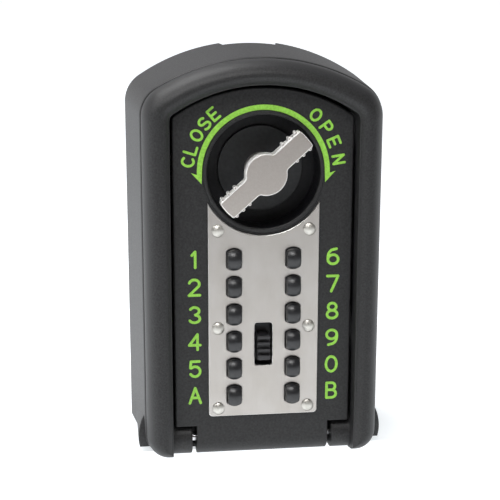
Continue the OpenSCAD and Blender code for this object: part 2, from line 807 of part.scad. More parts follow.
housing();
hinge_pin();
key_hook();
door_panel();
face_plate();
face_rivets();
legend_numerals();
legend_words();
legend_arrows();
lock_case();
case_screws();
guide_plate();
bolt_cover();
cover_screws();
bolt_guide_left();
bolt_guide_right();
gate_plate();
gate_spring();
clear_slider();
clear_spring();
wing_knob();
knob_rotor();
spindle();
cam();
bolt_left();
bolt_right();
button_1();
button_2();
button_3();
button_4();
button_5();
button_a();
button_6();
button_7();
button_8();
button_9();
button_0();
button_b();
spring_1();
spring_2();
spring_3();
spring_4();
spring_5();
spring_a();
spring_6();
spring_7();
spring_8();
spring_9();
spring_0();
spring_b();
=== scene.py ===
"""Looks of the wall-mounted key lock box: shells, plate, knob, buttons, legends, materials and light.

Shapes are made in millimetres and stored in metres. Front outlines are (x, z) points, side outlines
(y, z) points. Many outlines are functions of how far they are inset.
"""

import json
import math

import bmesh
import bpy
from mathutils import Matrix, Vector
from mathutils.geometry import delaunay_2d_cdt

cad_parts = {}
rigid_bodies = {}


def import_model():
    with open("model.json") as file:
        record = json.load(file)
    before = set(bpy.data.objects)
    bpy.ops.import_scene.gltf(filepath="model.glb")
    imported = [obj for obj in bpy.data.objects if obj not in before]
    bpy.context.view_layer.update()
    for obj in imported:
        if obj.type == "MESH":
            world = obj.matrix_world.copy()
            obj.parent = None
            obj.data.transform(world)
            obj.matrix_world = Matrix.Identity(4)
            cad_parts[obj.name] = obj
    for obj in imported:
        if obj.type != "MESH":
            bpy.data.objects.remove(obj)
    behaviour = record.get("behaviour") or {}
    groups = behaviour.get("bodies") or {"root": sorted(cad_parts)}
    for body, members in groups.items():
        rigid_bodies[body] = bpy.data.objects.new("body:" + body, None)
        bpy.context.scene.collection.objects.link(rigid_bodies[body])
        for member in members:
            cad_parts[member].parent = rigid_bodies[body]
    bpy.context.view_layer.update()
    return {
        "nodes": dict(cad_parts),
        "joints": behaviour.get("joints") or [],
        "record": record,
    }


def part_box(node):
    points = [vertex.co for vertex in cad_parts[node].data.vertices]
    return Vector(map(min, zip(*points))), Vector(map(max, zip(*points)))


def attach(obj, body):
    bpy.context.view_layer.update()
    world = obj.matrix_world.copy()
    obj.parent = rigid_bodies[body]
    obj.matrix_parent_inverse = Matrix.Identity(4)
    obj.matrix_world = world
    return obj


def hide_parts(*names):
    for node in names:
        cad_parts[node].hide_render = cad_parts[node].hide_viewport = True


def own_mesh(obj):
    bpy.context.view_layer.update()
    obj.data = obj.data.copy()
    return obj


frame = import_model()

MM = 0.001
PAST = 1.0      # how far a cut runs past the surface that it cuts
JOIN = 0.5      # how far a joined piece runs into the one that it joins


def box_mm(node):
    """Lowest and highest corner of a CAD node, in millimetres."""
    low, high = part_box(node)
    return low / MM, high / MM


def joint_mm(name):
    """Place of a joint, in millimetres."""
    joint = next(j for j in frame["joints"] if j["name"] == name)
    return Vector(joint["pos_m"]) / MM


# ---- sizes that the frame gives ----

HOUSING_LOW, HOUSING_HIGH = box_mm("housing")
DOOR_LOW, DOOR_HIGH = box_mm("door_panel")
PLATE_LOW, PLATE_HIGH = box_mm("face_plate")
RIVET_LOW, RIVET_HIGH = box_mm("face_rivets")
SLIDER_LOW, SLIDER_HIGH = box_mm("clear_slider")
KNOB_LOW = box_mm("wing_knob")[0]
ROTOR_LOW, ROTOR_HIGH = box_mm("knob_rotor")
PIN_LOW, PIN_HIGH = box_mm("hinge_pin")
COVER_LOW = box_mm("bolt_cover")[0]
HINGE = joint_mm("door_hinge")
KNOB = joint_mm("knob_turn")
BUTTONS = list("12345a67890b")

BACK_HALF = HOUSING_HIGH.x
BASE_Z = HOUSING_LOW.z
FRONT_Y = HOUSING_LOW.y
TOP_Z = -BASE_Z
FACE_Y = PLATE_HIGH.y
DOOR_HALF = DOOR_HIGH.x
PIN_R = PIN_HIGH.z - HINGE.z

# ---- sizes of the housing ----

ARCH_R = 76.0
SHOULDER_R = 12.5
CREASE_HALF = 44.6
CREASE_DROP = 4.3
CREASE_Y = FRONT_Y + 10.4
CREASE_STEP = 0.5
WALL_CORNER = 0.6
# sections of the side: share of the way from the wall to the crease, and inset
SIDE_RINGS = ((0, 0.5), (0.0107, 0.15), (0.03, 0), (0.3, 0), (0.65, 0), (0.965, 0), (0.99, 0.12), (1, 0.35))
BEZEL_ROUND_W = 6.8
BEZEL_FALL = 2.0
CORNER_R = 9.0
DOOR_GAP = 1.0
OPENING_HALF = DOOR_HALF + DOOR_GAP
OPENING_TOP = DOOR_HIGH.z + DOOR_GAP
OPENING_R = 59.0
OPENING_CORNER = 3.0
OPENING_EDGE_R = 0.5
LIP_BACK_Y = FRONT_Y + 18
BACK_T = 4.0
CAVITY_HALF = 41.0
CAVITY_TOP = 71.0
CAVITY_SHOULDER = 8
CAVITY_CORNER = 2
FLOOR_T = 4.5
FIX = (22.0, 42.0)      # fixing holes, from the middle of the back
FIX_R = 2.75
EAR_R = 18.0
EAR_X = 47.2
EAR_INNER_X = 42.0
EAR_Y = (-45.0, -20.0)
EAR_Z = (BASE_Z + 2.8, BASE_Z + 7.0, BASE_Z + 17.8)
NOTCH = (10.4, 11.6, 7.5, 5.0)      # half width in front and at the wall, depth, reach up and down

# ---- sizes of the door ----

SKIN_T = 4.0
SKIN_BACK_Y = FACE_Y + SKIN_T
NOTCH_Z = HINGE.z + 6.3
KNUCKLE_R = 6.2
TONGUE_HALF = 25.2
LUG_W = 7.5
LUG_RISE = 5.6          # flat top of a lug, above the pin
SILL = (5.0, 6.0)       # front and top of the sill, from the pin
KNUCKLE_ROOM = 0.7
SILL_BACK_Y = LIP_BACK_Y + 5
DISH_R = 20.8
DISH_FLOOR_Y = FACE_Y + 11.5
DISH_BACK_Y = DISH_FLOOR_Y + 2
DISH_WALL = 2.5
LIP_W = 1.6
LIP_H = FACE_Y - DOOR_LOW.y
PLATE_ARC_R = DISH_R + LIP_W + 1.0
HOLE_D = 8.1
HOLE_W = 5.5
SLOT = (0.0, -32.85, 6.6, 16.5)
SLOT_CORNER = 0.9
RIVETS = [(x, z) for x in (-17.0, 17.0) for z in (10.8, -26.2, -57.6)]
RIVET_R = 2.2
SHANK_R = 0.9
SEAT_DEPTH = 0.25
POST = (15.0, 11.0)     # posts behind the dish, from the knob's axis
POST_R = 2.5
STOP = (0, -13, 5, 2, 0.3)
STOP_T = 4.6
SPINDLE_HOLE_R = 3.06

# ---- outlines ----


def arc(cx, cz, r, start, end, steps):
    """Points of an arc from one angle in degrees to another."""
    turns = [math.radians(start + (end - start) * i / steps) for i in range(steps + 1)]
    return [(cx + r * math.cos(a), cz + r * math.sin(a)) for a in turns]


def arch(half, top, big_r, shoulder, low, corner):
    """Arch-topped outline, symmetric in x, from its lower right corner round to its lower left one."""
    cz = top - big_r
    sx = half - shoulder
    sz = cz + math.sqrt((big_r - shoulder) ** 2 - sx ** 2)
    lean = math.degrees(math.atan2(sz - cz, sx))
    right = arc(half - corner, low + corner, corner, -90, 0, 12)
    right += arc(sx, sz, shoulder, 0, lean, 14)
    right += arc(0, cz, big_r, lean, 90, 20)[1:]
    return right + [(-x, z) for x, z in reversed(right[:-1])]


def disc(cx, cz, r, steps=64):
    """Outline of a circle as a function of how far it is inset."""
    return lambda inset: arc(cx, cz, r - inset, 0, 360, steps)[:-1]


def round_rect(cx, cz, w, h, r):
    """Rectangle with rounded corners."""
    def outline(inset):
        hw, hh, c = w / 2 - inset, h / 2 - inset, max(r - inset, 0.05)
        corners = ((1, -1, -90), (1, 1, 0), (-1, 1, 90), (-1, -1, 180))
        return [p for sx, sz, a in corners
                for p in arc(cx + sx * (hw - c), cz + sz * (hh - c), c, a, a + 90, 5)]
    return outline


def double_d(cx, cz, d, w):
    """Circle of diameter d with two upright flats w apart."""
    def outline(inset):
        r, half = d / 2 - inset, w / 2 - inset
        a = math.degrees(math.acos(half / r))
        high = math.sqrt(r * r - half * half)
        flat = [high * (1 - i / 4) for i in range(1, 8)]
        upper = arc(cx, cz, r, a, 180 - a, 12) + [(cx - half, cz + z) for z in flat]
        lower = arc(cx, cz, r, 180 + a, 360 - a, 12) + [(cx + half, cz - z) for z in flat]
        return upper + lower
    return outline


def wing_outline(reach, half_w, hub_r, corner, fillet):
    """Turn knob seen from the front with its wings level: a hub, two wings, filleted roots."""
    def outline(inset):
        end_x = math.sqrt((reach - corner) ** 2 - (half_w - corner) ** 2)
        root_x = math.sqrt((hub_r + fillet) ** 2 - (half_w + fillet) ** 2)
        end_a = math.degrees(math.atan2(half_w - corner, end_x))
        root_a = math.degrees(math.atan2(half_w + fillet, root_x))
        quarter = arc(0, 0, reach - inset, 0, end_a, 6)[:-1]
        quarter += arc(end_x, half_w - corner, corner - inset, end_a, 90, 5)
        quarter += arc(root_x, half_w + fillet, fillet + inset, 270, 180 + root_a, 6)
        quarter += arc(0, 0, hub_r - inset, root_a, 90, 10)[1:]
        upper = quarter + [(-x, z) for x, z in reversed(quarter[:-1])]
        return upper + [(x, -z) for x, z in reversed(upper[1:-1])]
    return outline


# ---- solids ----


def at_y(outline, y):
    return [(x, y, z) for x, z in outline]


def at_x(outline, x):
    return [(x, y, z) for y, z in outline]


def add_object(name, data):
    obj = bpy.data.objects.new(name, data)
    bpy.context.scene.collection.objects.link(obj)
    return obj


def new_object(name, points, faces):
    """Mesh object from points in millimetres, with its faces turned outwards."""
    mesh = bpy.data.meshes.new(name)
    mesh.from_pydata([Vector(p) * MM for p in points], [], faces)
    bm = bmesh.new()
    bm.from_mesh(mesh)
    bmesh.ops.recalc_face_normals(bm, faces=bm.faces)
    bm.to_mesh(mesh)
    bm.free()
    return add_object(name, mesh)


def loft(name, rings):
    """Closed solid through rings with equal numbers of points."""
    n = len(rings[0])
    points = [p for ring in rings for p in ring]
    faces = [(k * n + i, k * n + (i + 1) % n, (k + 1) * n + (i + 1) % n, (k + 1) * n + i)
             for k in range(len(rings) - 1) for i in range(n)]
    faces += [tuple(range(n)), tuple(range(len(points) - n, len(points)))]
    return new_object(name, points, faces)


def quarter_steps(r, steps=4):
    """(depth, inset) pairs of an edge rounded to radius r, from the end face to the side."""
    turns = [math.radians(90 * i / steps) for i in range(steps + 1)]
    return [(r * (1 - math.cos(a)), r * (1 - math.sin(a))) for a in turns]


def bar(name, outline, low, high, r_low=0.0, r_high=0.0, place=at_y):
    """Prism of an outline from low to high, with its two end edges rounded."""
    start = [(low + d, i) for d, i in quarter_steps(r_low)] if r_low else [(low, 0)]
    end = [(high - d, i) for d, i in reversed(quarter_steps(r_high))] if r_high else [(high, 0)]
    return loft(name, [place(outline(inset), pos) for pos, inset in start + end])


def cutter(outline, surface, deep, r):
    """Hole from a surface facing -Y to a depth, with a mouth edge rounded to radius r."""
    mouth = [(surface - PAST, -r)] + [(surface + d, -i) for d, i in quarter_steps(r)]
    return loft("cutter", [at_y(outline(inset), pos) for pos, inset in mouth + [(deep, 0)]])


def merged(name, objects):
    """One object with the meshes of several."""
    bm = bmesh.new()
    for obj in objects:
        bm.from_mesh(obj.data)
        bpy.data.objects.remove(obj)
    mesh = bpy.data.meshes.new(name)
    bm.to_mesh(mesh)
    bm.free()
    return add_object(name, mesh)


def apply_modifiers(obj):
    """Keeps what the modifiers make of a mesh."""
    graph = bpy.context.evaluated_depsgraph_get()
    mesh = bpy.data.meshes.new_from_object(obj.evaluated_get(graph))
    obj.modifiers.clear()
    obj.data = mesh


def combine(target, tool, operation):
    """Adds a solid to another or takes it away, and uses it up."""
    modifier = target.modifiers.new("combine", "BOOLEAN")
    modifier.operation = operation
    modifier.solver = "EXACT"
    modifier.object = tool
    apply_modifiers(target)
    bpy.data.objects.remove(tool)


def smooth(obj, sharp_deg=32):
    """Smooth shading with sharp edges kept, and normals that follow the larger faces."""
    bm = bmesh.new()
    bm.from_mesh(obj.data)
    bmesh.ops.remove_doubles(bm, verts=bm.verts, dist=0.003 * MM)
    bmesh.ops.dissolve_degenerate(bm, dist=0.001 * MM, edges=bm.edges)
    for face in bm.faces:
        face.smooth = True
    for edge in bm.edges:
        edge.smooth = edge.calc_face_angle(math.pi) < math.radians(sharp_deg)
    bm.to_mesh(obj.data)
    bm.free()
    modifier = obj.modifiers.new("normals", "WEIGHTED_NORMAL")
    modifier.keep_sharp = True
    modifier.weight = 50
    apply_modifiers(obj)
    return obj


# ---- materials ----


def colour_ramp(tree, stops):
    """Colour ramp from two (position, colour) stops."""
    ramp = tree.nodes.new("ShaderNodeValToRGB")
    for element, (position, colour) in zip(ramp.color_ramp.elements, stops):
        element.position = position
        element.color = (*colour, 1)
    return ramp


class Surface:
    """A principled material whose colour, roughness and bump come from noise in the object's own space."""

    def __init__(self, name, metallic=0.0, specular=0.5):
        self.material = bpy.data.materials.new(name)
        self.material.use_nodes = True
        self.tree = self.material.node_tree
        self.shader = self.tree.nodes["Principled BSDF"]
        self.shader.inputs["Metallic"].default_value = metallic
        self.shader.inputs["Specular IOR Level"].default_value = specular
        self.place = self.tree.nodes.new("ShaderNodeTexCoord").outputs["Object"]

    def noise(self, scale, detail=3.0, stretch=(1, 1, 1)):
        """Noise with about scale features per metre, along each axis times stretch."""
        mapping = self.tree.nodes.new("ShaderNodeMapping")
        mapping.inputs["Scale"].default_value = stretch
        texture = self.tree.nodes.new("ShaderNodeTexNoise")
        texture.inputs["Scale"].default_value = scale
        texture.inputs["Detail"].default_value = detail
        self.tree.links.new(self.place, mapping.inputs["Vector"])
        self.tree.links.new(mapping.outputs["Vector"], texture.inputs["Vector"])
        return texture.outputs["Fac"]

    def colour(self, factor, dark, light):
        ramp = colour_ramp(self.tree, ((0.3, dark), (0.7, light)))
        self.tree.links.new(factor, ramp.inputs["Fac"])
        self.tree.links.new(ramp.outputs["Color"], self.shader.inputs["Base Color"])

    def mapped(self, value, source, target):
        """A value carried over from one range to another."""
        span = self.tree.nodes.new("ShaderNodeMapRange")
        span.inputs["From Min"].default_value, span.inputs["From Max"].default_value = source
        span.inputs["To Min"].default_value, span.inputs["To Max"].default_value = target
        self.tree.links.new(value, span.inputs["Value"])
        return span.outputs["Result"]

    def roughness(self, factor, low, high):
        value = self.mapped(factor, (0.3, 0.7), (low, high))
        self.tree.links.new(value, self.shader.inputs["Roughness"])

    def bump(self, factor, height, strength=1.0):
        """Relief with a height in millimetres."""
        node = self.tree.nodes.new("ShaderNodeBump")
        node.inputs["Strength"].default_value = strength
        node.inputs["Distance"].default_value = height * MM
        self.tree.links.new(factor, node.inputs["Height"])
        self.tree.links.new(node.outputs["Normal"], self.shader.inputs["Normal"])


def powder_coat(name, shade):
    """Fine orange-peel coat on a casting, a little mottled."""
    tint = (1.0, 1.0, 1.03)
    s = Surface(name, specular=0.4)
    s.colour(s.noise(1500), [0.55 * shade * t for t in tint], [1.55 * shade * t for t in tint])
    s.roughness(s.noise(1500), 0.44, 0.56)
    s.bump(s.noise(1900, 2), 0.05, 0.8)
    return s.material


def sheet_steel(name, dark, light, low, high):
    """Satin rolled sheet: fine upright grain over soft clouds."""
    s = Surface(name, metallic=1.0)
    s.colour(s.noise(160, 3, (1, 1, 0.6)), dark, light)
    s.roughness(s.noise(2600, 2, (1, 1, 0.06)), low, high)
    s.bump(s.noise(3200, 2, (1, 1, 0.05)), 0.004, 0.25)
    return s.material


def plain_metal(name, dark, light, low, high, scale):
    """Turned, drawn or plated metal with faint handling marks."""
    s = Surface(name, metallic=1.0)
    s.colour(s.noise(scale), dark, light)
    s.roughness(s.noise(scale * 2), low, high)
    s.bump(s.noise(scale * 3, 2), 0.006, 0.3)
    return s.material


def silver_lacquer(name):
    """Satin silver lacquer with a metal-flake sparkle on a casting."""
    s = Surface(name, metallic=0.85)
    s.colour(s.noise(1600, 2), (0.50, 0.46, 0.427), (0.535, 0.497, 0.466))
    s.roughness(s.noise(700), 0.3, 0.4)
    s.bump(s.noise(1500, 2), 0.005, 0.25)
    return s.material


def edge_highlight_lacquer(name):
    """Pale lacquer colour on edges and sides: a painted highlight."""
    s = Surface(name, metallic=0.15)
    s.colour(s.noise(1200, 2), (0.8, 0.785, 0.765), (0.92, 0.905, 0.885))
    s.roughness(s.noise(900), 0.34, 0.46)
    s.bump(s.noise(1500, 2), 0.005, 0.25)
    return s.material


def moulded_plastic(name, dark, light, low, high, grain, height, specular):
    """Moulded part with a fine grain of a given height."""
    s = Surface(name, specular=specular)
    s.colour(s.noise(700), dark, light)
    s.roughness(s.noise(900, 2), low, high)
    s.bump(s.noise(grain, 2), height, 0.4)
    return s.material


def legend_paint(name):
    """Light green filled lettering with slight unevenness."""
    s = Surface(name, specular=0.4)
    s.colour(s.noise(1400, 3), (0.26, 0.58, 0.06), (0.36, 0.76, 0.095))
    s.roughness(s.noise(1800), 0.4, 0.55)
    s.bump(s.noise(2600, 2), 0.01, 0.4)
    return s.material


# dark and light colour, least and greatest roughness, features per metre
METALS = {
    "pin_steel": ((0.58, 0.58, 0.6), (0.72, 0.72, 0.73), 0.12, 0.24, 500),
    # pale colour for the plate's rounded edges: a painted highlight
    "rim_highlight_steel": ((0.86, 0.85, 0.83), (0.95, 0.94, 0.92), 0.28, 0.38, 900),
    "rivet_metal": ((0.6, 0.585, 0.54), (0.72, 0.705, 0.66), 0.42, 0.52, 900),
    "case_steel": ((0.38, 0.39, 0.4), (0.48, 0.49, 0.5), 0.34, 0.46, 220),
    "screw_steel": ((0.46, 0.46, 0.47), (0.62, 0.62, 0.63), 0.22, 0.36, 700),
    "brass_plate": ((0.55, 0.42, 0.2), (0.72, 0.58, 0.3), 0.25, 0.4, 260),
    "spring_steel": ((0.38, 0.38, 0.4), (0.55, 0.55, 0.56), 0.2, 0.34, 900),
    "bolt_steel": ((0.46, 0.46, 0.48), (0.62, 0.62, 0.63), 0.2, 0.34, 300),
}
# colours and roughness as above, grain per metre and its height, specular level
PLASTICS = {
    # near-black inside of the dish: painted shade
    "dish_painted_shade": ((0.004, 0.004, 0.005), (0.008, 0.008, 0.01), 0.4, 0.55, 1800, 0.02, 0.35),
    "slider_plastic": ((0.022, 0.022, 0.024), (0.036, 0.036, 0.039), 0.38, 0.5, 2600, 0.02, 0.5),
    "button_plastic": ((0.008, 0.0085, 0.01), (0.014, 0.015, 0.018), 0.32, 0.4, 700, 0.006, 0.7),
    "rotor_plastic": ((0.012, 0.013, 0.014), (0.022, 0.023, 0.025), 0.42, 0.55, 2400, 0.02, 0.5),
}
MATERIALS = {
    "body_coat": powder_coat("body_coat", 0.02),
    "door_coat": powder_coat("door_coat", 0.017),
    "plate_steel": sheet_steel("plate_steel", (0.49, 0.463, 0.432), (0.53, 0.506, 0.48), 0.34, 0.42),
    "legend_paint": legend_paint("legend_paint"),
    "knob_metal": silver_lacquer("knob_metal"),
    "knob_edge_highlight": edge_highlight_lacquer("knob_edge_highlight"),
}
MATERIALS.update({name: plain_metal(name, *row) for name, row in METALS.items()})
MATERIALS.update({name: moulded_plastic(name, *row) for name, row in PLASTICS.items()})


def finish_piece(obj, body, slot, *nodes):
    """Shades a piece, gives it the slot's material, and puts it in place of CAD nodes."""
    smooth(obj)
    obj.data.materials.clear()
    obj.data.materials.append(MATERIALS[slot])
    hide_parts(*nodes)
    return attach(obj, body)


# ---- housing ----


def bezel_ring(share, low):
    """Front outline between the crease (share 0) and the door opening (share 1)."""
    def between(a, b):
        return a + (b - a) * share
    return arch(between(CREASE_HALF, OPENING_HALF), between(TOP_Z - CREASE_DROP, OPENING_TOP),
                between(ARCH_R, OPENING_R), between(SHOULDER_R, OPENING_CORNER), low,
                max(CORNER_R - share * BEZEL_W, 1))


BEZEL_W = CREASE_HALF - OPENING_HALF
CREST = BEZEL_ROUND_W / BEZEL_W


def housing_rings():
    """Sections of the outer form from the wall to the crest of the bezel."""
    rings = []
    for share, inset in SIDE_RINGS:
        half = BACK_HALF + (CREASE_HALF - BACK_HALF) * share
        top = TOP_Z - CREASE_DROP * share
        corner = WALL_CORNER + (CORNER_R - WALL_CORNER) * share
        big_r = ARCH_R + 2 * (1 - share)
        ring = arch(half - inset, top - inset, big_r - inset, SHOULDER_R - inset, BASE_Z, corner)
        rings.append(at_y(ring, CREASE_Y * share))
    start = CREASE_STEP / BEZEL_W
    for step in range(25):
        turn = math.radians(90 * step / 24)
        share = start + (CREST - start) * (1 - math.cos(turn))
        y = CREASE_Y - (CREASE_Y - FRONT_Y) * math.sin(turn)
        rings.append(at_y(bezel_ring(share, BASE_Z + share * BEZEL_W), y))
    return rings


def opening_cutter():
    """Door opening, flared so that it leaves the bezel's front falling softly to a small rounded edge."""
    start = CREST - 0.002
    rings = [(start, FRONT_Y - PAST), (start, FRONT_Y - 0.01)]
    edge_share = 1 - OPENING_EDGE_R / BEZEL_W
    for step in range(1, 9):
        t = step / 8
        rings.append((CREST + (edge_share - CREST) * t, FRONT_Y + BEZEL_FALL * t * t))
    for step in range(1, 5):
        turn = math.radians(90 * step / 4)
        share = edge_share + (1 - edge_share) * math.sin(turn)
        rings.append((share, FRONT_Y + BEZEL_FALL + OPENING_EDGE_R * (1 - math.cos(turn))))
    rings.append((1, LIP_BACK_Y + PAST))
    return loft("cutter", [at_y(bezel_ring(share, BASE_Z - 8), y) for share, y in rings])


def lug_outline(inset):
    """Side view of a hinge lug: round front, square back."""
    high = HINGE.z + LUG_RISE - inset
    r = KNUCKLE_R - inset
    rise = math.degrees(math.asin((high - HINGE.z) / r))
    back = SILL_BACK_Y + 0.2
    return arc(HINGE.y, HINGE.z, r, rise, 270, 24) + [(back, HINGE.z - r), (back, high)]


def sill_outline(_):
    """Side view of the sill behind the knuckle."""
    front, high = HINGE.y + SILL[0], HINGE.z + SILL[1]
    return [(SILL_BACK_Y, BASE_Z), (front, BASE_Z), (front, high), (SILL_BACK_Y, high)]


def ear_outline(side):
    """Front view of the curved foot on one side wall."""
    low, middle, high = EAR_Z

    def outline(inset):
        r = EAR_R - inset
        start, end = (math.degrees(math.asin((z - middle) / r)) for z in (low + inset * 0.5, high))
        curve = arc(EAR_X - EAR_R, middle, r, start, end, 14)
        return [(side * x, z) for x, z in curve + [(EAR_INNER_X, high), (EAR_INNER_X, curve[0][1])]]
    return outline


def add_hinge_parts(shell):
    """Sill behind the knuckle, hollowed to let it turn, and a lug on each side of it."""
    inner, outer = OPENING_HALF - LUG_W, OPENING_HALF + JOIN
    combine(shell, bar("sill", sill_outline, -outer, outer, place=at_x), "UNION")
    hollow = disc(HINGE.y, HINGE.z, KNUCKLE_R + KNUCKLE_ROOM, 72)
    combine(shell, bar("cutter", hollow, JOIN - inner, inner - JOIN, place=at_x), "DIFFERENCE")
    combine(shell, bar("lug", lug_outline, inner, outer, r_low=0.5, place=at_x), "UNION")
    combine(shell, bar("lug", lug_outline, -outer, -inner, r_high=0.5, place=at_x), "UNION")


def make_housing():
    shell = loft("housing_shell", housing_rings())
    combine(shell, opening_cutter(), "DIFFERENCE")
    cavity = arch(CAVITY_HALF, CAVITY_TOP, CAVITY_TOP + 1, CAVITY_SHOULDER, BASE_Z + FLOOR_T, CAVITY_CORNER)
    combine(shell, loft("cutter", [at_y(cavity, LIP_BACK_Y), at_y(cavity, -BACK_T)]), "DIFFERENCE")
    add_hinge_parts(shell)
    for side in (-1, 1):
        combine(shell, bar("ear", ear_outline(side), *EAR_Y, r_low=0.8, r_high=0.8), "UNION")
    holes = [bar("cutter", disc(x, z, FIX_R, 40), -BACK_T - PAST, PAST)
             for x in (-FIX[0], FIX[0]) for z in (-FIX[1], FIX[1])]
    combine(shell, merged("cutter", holes), "DIFFERENCE")
    narrow, wide, deep, tall = NOTCH
    notch = [(-wide, 0.1), (-narrow, -deep), (narrow, -deep), (wide, 0.1)]
    notch_rings = [[(x, y, z) for x, y in notch] for z in (TOP_Z - tall, TOP_Z + tall)]
    combine(shell, loft("cutter", notch_rings), "DIFFERENCE")
    bore = disc(HINGE.y, HINGE.z, PIN_R + 0.05, 32)
    combine(shell, bar("cutter", bore, PIN_LOW.x - 0.1, PIN_HIGH.x + 0.1, place=at_x), "DIFFERENCE")
    return finish_piece(shell, "housing", "body_coat", "housing")


# ---- door ----


def door_outline(inset):
    return arch(DOOR_HALF - inset, DOOR_HIGH.z - inset, OPENING_R - DOOR_GAP - inset, 2.2 - inset,
                NOTCH_Z + inset, 0.75 - inset)


def tongue_outline(inset):
    """Side view of the door's foot: a skin that runs down into the round knuckle."""
    r = KNUCKLE_R - inset
    back = FACE_Y + SKIN_T - inset
    top = NOTCH_Z + 2
    end = 360 + math.degrees(math.acos((back - HINGE.y) / r))
    return [(HINGE.y - r, top)] + arc(HINGE.y, HINGE.z, r, 180, end, 26) + [(back, top)]


def button_holes(surface, deep, r):
    """Cutters for the twelve button holes."""
    low_high = [box_mm("button_" + b) for b in BUTTONS]
    centres = [(low + high) / 2 for low, high in low_high]
    return [cutter(double_d(c.x, c.z, HOLE_D, HOLE_W), surface, deep, r) for c in centres]


def dish_disc(r):
    """Circle about the knob's axis."""
    return disc(0, KNOB.z, r, 96)


def add_door_parts(door):
    """Tongue, dish wall, raised lip, cover posts and slider stop."""
    boss_r, lip_r = DISH_R + DISH_WALL, DISH_R + LIP_W
    combine(door, bar("tongue", tongue_outline, -TONGUE_HALF, TONGUE_HALF, 0.4, 0.4, at_x), "UNION")
    combine(door, bar("boss", dish_disc(boss_r), SKIN_BACK_Y - JOIN, DISH_BACK_Y, r_high=0.6), "UNION")
    combine(door, bar("lip", dish_disc(lip_r), FACE_Y - LIP_H, FACE_Y + 2 * JOIN, r_low=0.55), "UNION")
    posts = [bar("post", disc(x, KNOB.z + z, POST_R, 24), DISH_BACK_Y - JOIN, COVER_LOW.y)
             for x in (-POST[0], POST[0]) for z in (-POST[1], POST[1])]
    combine(door, merged("posts", posts), "UNION")
    stop = round_rect(*STOP)
    combine(door, bar("stop", stop, SKIN_BACK_Y - JOIN, SKIN_BACK_Y + STOP_T, r_high=0.2), "UNION")


def cut_door(door):
    """Dish, button holes, slider slot, spindle hole and pin bore."""
    combine(door, cutter(dish_disc(DISH_R), FACE_Y - LIP_H, DISH_FLOOR_Y, 0.6), "DIFFERENCE")
    holes = button_holes(FACE_Y, SKIN_BACK_Y + PAST, 0.1)
    holes.append(cutter(round_rect(*SLOT, SLOT_CORNER), FACE_Y, SKIN_BACK_Y + PAST, 0.1))
    spindle_hole = disc(0, KNOB.z, SPINDLE_HOLE_R, 32)
    holes.append(bar("cutter", spindle_hole, DISH_FLOOR_Y - PAST, DISH_BACK_Y + PAST))
    combine(door, merged("cutter", holes), "DIFFERENCE")
    bore = disc(HINGE.y, HINGE.z, PIN_R + 0.06, 32)
    combine(door, bar("cutter", bore, -TONGUE_HALF - PAST, TONGUE_HALF + PAST, place=at_x), "DIFFERENCE")


def paint_dish_shade(door):
    """Gives the inside of the dish a darker colour: painted shade in the recess."""
    door.data.materials.append(MATERIALS["dish_painted_shade"])
    axis = Vector((0, 0, KNOB.z)) * MM
    for face in door.data.polygons:
        middle = face.center - axis
        deep = middle.y > (FACE_Y - LIP_H + 0.5) * MM and middle.y < (DISH_FLOOR_Y + 0.1) * MM
        if deep and math.hypot(middle.x, middle.z) < (DISH_R + 0.2) * MM:
            face.material_index = 1


def make_door():
    door = bar("door_shell", door_outline, FACE_Y, SKIN_BACK_Y, r_low=0.7, r_high=0.3)
    add_door_parts(door)
    cut_door(door)
    finish_piece(door, "door", "door_coat", "door_panel")
    paint_dish_shade(door)


def plate_outline(inset):
    """Stainless plate: straight sides, rounded lower corners, hollow top along the dish."""
    half, corner, r = PLATE_HIGH.x - inset, 1.5, PLATE_ARC_R + inset
    low = PLATE_LOW.z + inset
    tip = math.degrees(math.acos(half / r))
    right = arc(half - corner, low + corner, corner, -90, 0, 6)
    hollow = arc(0, KNOB.z, r, -tip, tip - 180, 40)
    left = arc(-half + corner, low + corner, corner, 180, 270, 6)
    return right + hollow + left


def make_plate():
    """Plate with holes and rivet seats, whose rounded edges get a paler colour than its face: a painted
    highlight.
    """
    plate = bar("face_sheet", plate_outline, PLATE_LOW.y, PLATE_HIGH.y, r_low=0.3)
    holes = button_holes(PLATE_LOW.y, PLATE_HIGH.y + PAST, 0.35)
    holes.append(cutter(round_rect(*SLOT, SLOT_CORNER), PLATE_LOW.y, PLATE_HIGH.y + PAST, 0.35))
    for x, z in RIVETS:
        seat = disc(x, z, RIVET_R + 0.3, 40)
        holes.append(bar("cutter", seat, PLATE_LOW.y - PAST, PLATE_LOW.y + SEAT_DEPTH))
    combine(plate, merged("cutter", holes), "DIFFERENCE")
    finish_piece(plate, "door", "plate_steel", "face_plate")
    plate.data.materials.append(MATERIALS["rim_highlight_steel"])
    # rounded edges take the pale colour: a painted highlight
    for face in plate.data.polygons:
        if 0.05 < -face.normal.y < 0.98:
            face.material_index = 1


def make_rivets():
    """Domed heads with a small shoulder, and their shanks."""
    head_h = PLATE_LOW.y - RIVET_LOW.y
    shoulder = 0.2
    dome_h = head_h - shoulder
    dome_r = (RIVET_R ** 2 + dome_h ** 2) / (2 * dome_h)
    widest = math.asin(RIVET_R / dome_r)
    seat_y = PLATE_LOW.y + SEAT_DEPTH - 0.02
    heads = []
    for x, z in RIVETS:
        rings = []
        for step in range(1, 9):
            turn = widest * step / 8
            rings.append((RIVET_LOW.y + dome_r * (1 - math.cos(turn)), dome_r * math.sin(turn)))
        rings += [(seat_y, RIVET_R), (seat_y, SHANK_R), (RIVET_HIGH.y, SHANK_R)]
        heads.append(loft("rivet", [at_y(disc(x, z, r, 32)(0), y) for y, r in rings]))
    return finish_piece(merged("rivet_heads", heads), "door", "rivet_metal", "face_rivets")


# ---- turn knob ----

